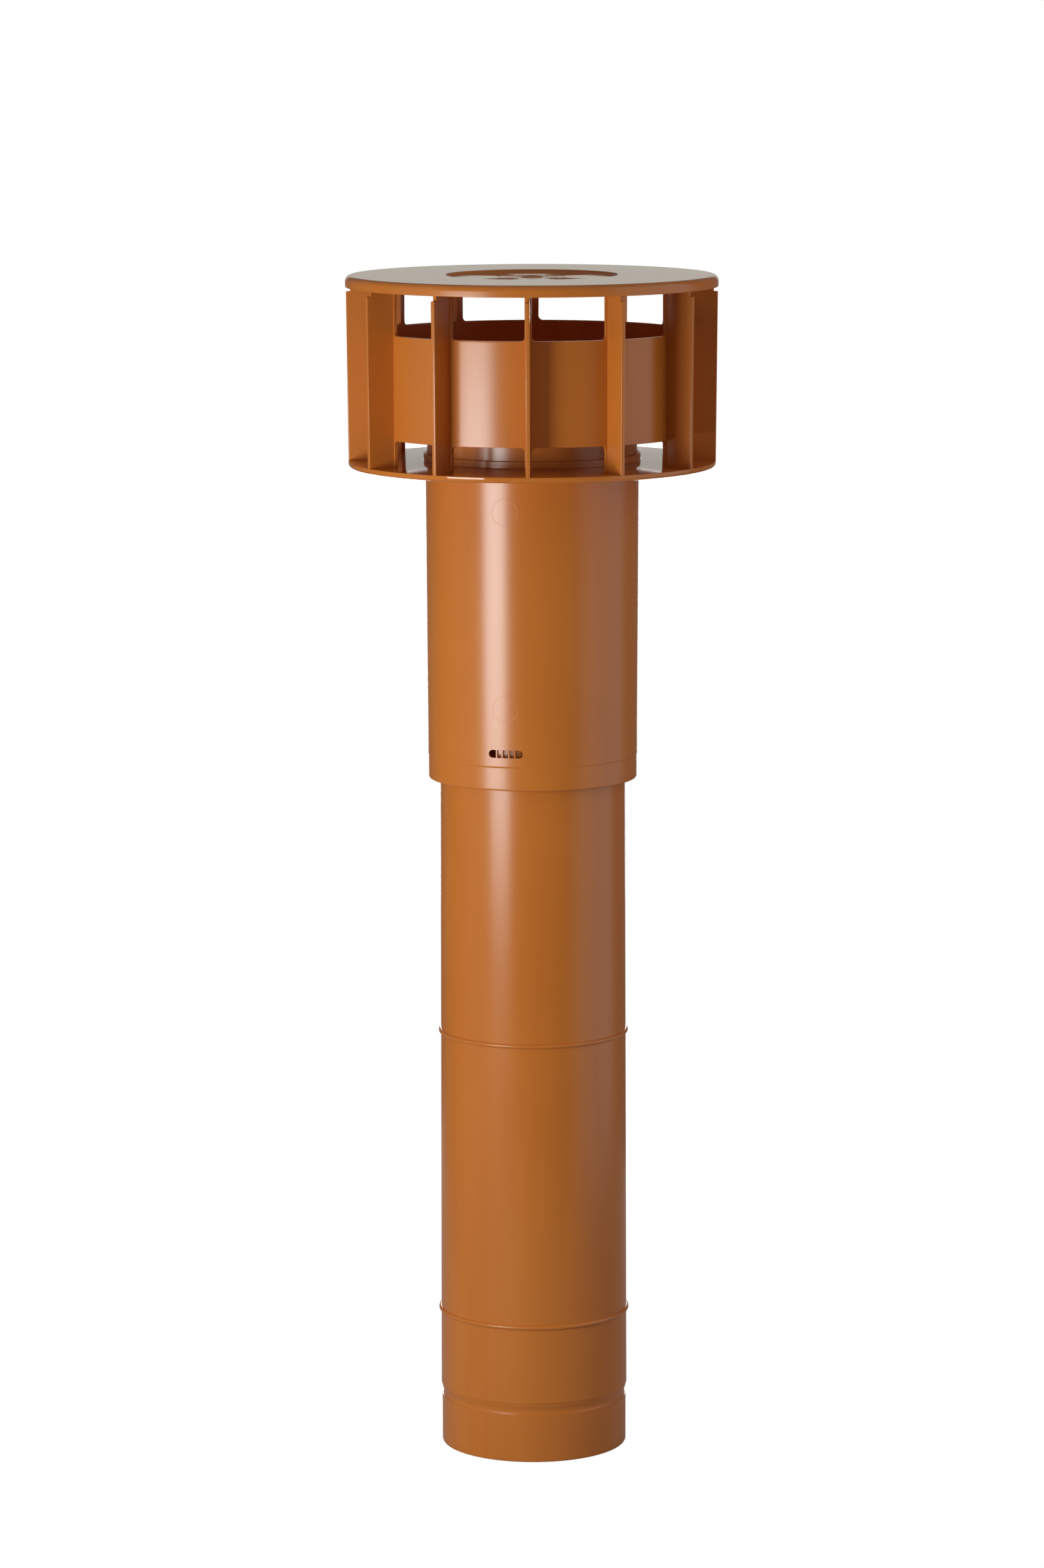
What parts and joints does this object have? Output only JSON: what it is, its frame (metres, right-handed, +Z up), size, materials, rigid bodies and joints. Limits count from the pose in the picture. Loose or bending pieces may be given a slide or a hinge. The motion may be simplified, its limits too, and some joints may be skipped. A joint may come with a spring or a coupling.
{
  "type": "roof vent terminal",
  "caption": "Moulded roof vent terminal: a round cap over a ring of vanes and a windowed shroud, on a slotted sleeve and a long duct tube with beads and a seal groove.",
  "frame": {"origin": "centre of the duct tube's lower end, which the terminal stands on", "axes": "+Z up along the duct's axis to the cap, -Y towards the sleeve's slot"},
  "size_m": [0.2622, 0.2622, 0.8399],
  "materials": {
    "terracotta_plastic": "moulded polypropylene, terracotta, semi-gloss"
  },
  "bodies": {
    "root": {"inner_tube": "terracotta_plastic", "outer_sleeve": "terracotta_plastic", "vane_cage": "terracotta_plastic", "cap_plate": "terracotta_plastic"}
  },
  "joints": []
}
